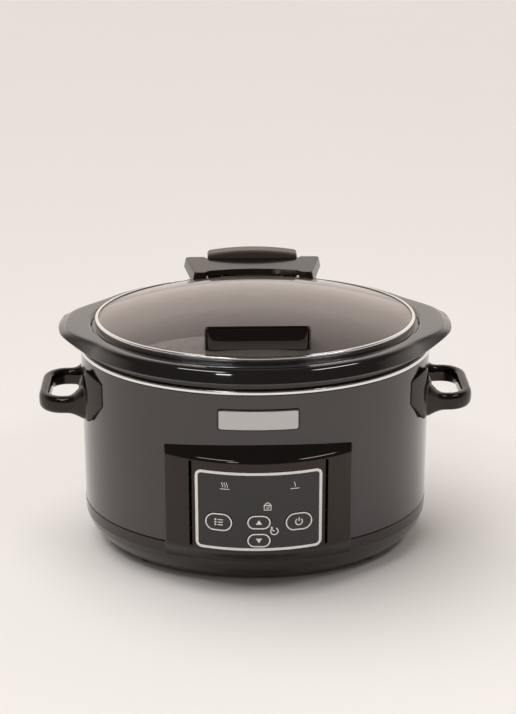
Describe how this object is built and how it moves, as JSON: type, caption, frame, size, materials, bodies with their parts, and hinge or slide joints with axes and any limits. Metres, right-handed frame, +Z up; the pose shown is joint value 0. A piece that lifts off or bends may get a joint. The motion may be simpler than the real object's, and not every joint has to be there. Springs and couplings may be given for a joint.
{
  "type": "slow cooker",
  "caption": "Oval slow cooker with a hinged glass lid, a lift-out stoneware crock, loop side handles and a front control panel with pill-shaped keys.",
  "frame": {"origin": "middle of the whole part's footprint, at floor level", "axes": "+Z up; -Y towards the control panel (the front); X from side handle to side handle"},
  "size_m": [0.39, 0.2924, 0.2344],
  "materials": {
    "base_plastic": "gloss black moulded base",
    "cover_steel": "black painted steel sheet",
    "shell_paint": "charcoal metallic paint, satin",
    "trim_bright": "bright plated bead",
    "badge_satin": "satin silver plate, blank",
    "liner_metal": "plain aluminised sheet",
    "heater_cloth": "woven glass sleeve over the element",
    "plated_steel": "zinc plated",
    "shield_foil": "bright sheet",
    "stoneware": "gloss black glaze",
    "lid_glass": "clear tempered glass",
    "rim_steel": "polished stainless band",
    "gloss_black": "gloss black moulding",
    "panel_plastic": "gloss black moulding",
    "lens_black": "polished black fascia",
    "dark_plastic": "matt black moulding",
    "board_green": "solder-masked board",
    "transformer_core": "varnished laminations",
    "terminal_ceramic": "unglazed white ceramic",
    "wire_sleeve": "glass braid sleeve",
    "foot_rubber": "moulded rubber"
  },
  "bodies": {
    "base": {"base_housing": "base_plastic", "bottom_cover": "cover_steel", "outer_shell": "shell_paint", "trim_ring": "trim_bright", "badge_plate": "badge_satin", "heating_liner": "liner_metal", "heater_band": "heater_cloth", "band_spring": "plated_steel", "thermal_fuse": "plated_steel", "heat_shield": "shield_foil", "sensor_cup": "plated_steel", "sensor_spring": "plated_steel", "hinge_tower": "gloss_black", "tower_screw_left": "plated_steel", "tower_screw_right": "plated_steel", "side_handle_left": "gloss_black", "side_handle_right": "gloss_black", "handle_screw_left_front": "plated_steel", "handle_screw_left_rear": "plated_steel", "handle_screw_right_front": "plated_steel", "handle_screw_right_rear": "plated_steel", "control_panel": "panel_plastic", "panel_lens": "lens_black", "switch_menu": "dark_plastic", "switch_power": "dark_plastic", "switch_up": "dark_plastic", "switch_down": "dark_plastic", "control_board": "board_green", "display_module": "dark_plastic", "board_tray": "dark_plastic", "power_board": "board_green", "relay": "dark_plastic", "transformer": "transformer_core", "terminal_block": "terminal_ceramic", "supply_lead": "wire_sleeve", "panel_harness": "wire_sleeve", "cord_gland": "dark_plastic", "foot_front_left": "foot_rubber", "foot_screw_front_left": "plated_steel", "foot_front_right": "foot_rubber", "foot_screw_front_right": "plated_steel", "foot_rear_left": "foot_rubber", "foot_screw_rear_left": "plated_steel", "foot_rear_right": "foot_rubber", "foot_screw_rear_right": "plated_steel"},
    "crock": {"crock": "stoneware"},
    "hinge_pin": {"hinge_pin": "plated_steel"},
    "lid": {"hinge_block": "gloss_black", "lid_glass": "lid_glass", "lid_rim": "rim_steel", "lid_handle": "gloss_black", "lid_bracket": "gloss_black", "lid_handle_screw_left": "plated_steel", "lid_handle_screw_right": "plated_steel", "bracket_screw_left": "plated_steel", "bracket_screw_right": "plated_steel"},
    "button_menu": {"button_menu": "lens_black"},
    "button_up": {"button_up": "lens_black"},
    "button_down": {"button_down": "lens_black"},
    "button_power": {"button_power": "lens_black"}
  },
  "joints": [
    {"name": "crock_lift", "type": "slide", "parent": "base", "child": "crock", "axis": [0, 0, 1], "range_m": [0, 0.14]},
    {"name": "lid_lift", "type": "slide", "parent": "crock", "child": "hinge_pin", "axis": [0, 0, 1], "range_m": [0, 0.06]},
    {"name": "lid_hinge", "type": "hinge", "parent": "hinge_pin", "child": "lid", "pos_m": [0, 0.1372, 0.212], "axis": [-1, 0, 0], "range_deg": [0, 95]},
    {"name": "press_menu", "type": "slide", "parent": "base", "child": "button_menu", "axis": [0.238, 0.9713, 0], "range_m": [0, 0.0008], "stiffness_N_per_m": 1500},
    {"name": "press_up", "type": "slide", "parent": "base", "child": "button_up", "axis": [0, 1, 0], "range_m": [0, 0.0008], "stiffness_N_per_m": 1500},
    {"name": "press_down", "type": "slide", "parent": "base", "child": "button_down", "axis": [0, 1, 0], "range_m": [0, 0.0008], "stiffness_N_per_m": 1500},
    {"name": "press_power", "type": "slide", "parent": "base", "child": "button_power", "axis": [-0.238, 0.9713, 0], "range_m": [0, 0.0008], "stiffness_N_per_m": 1500}
  ]
}
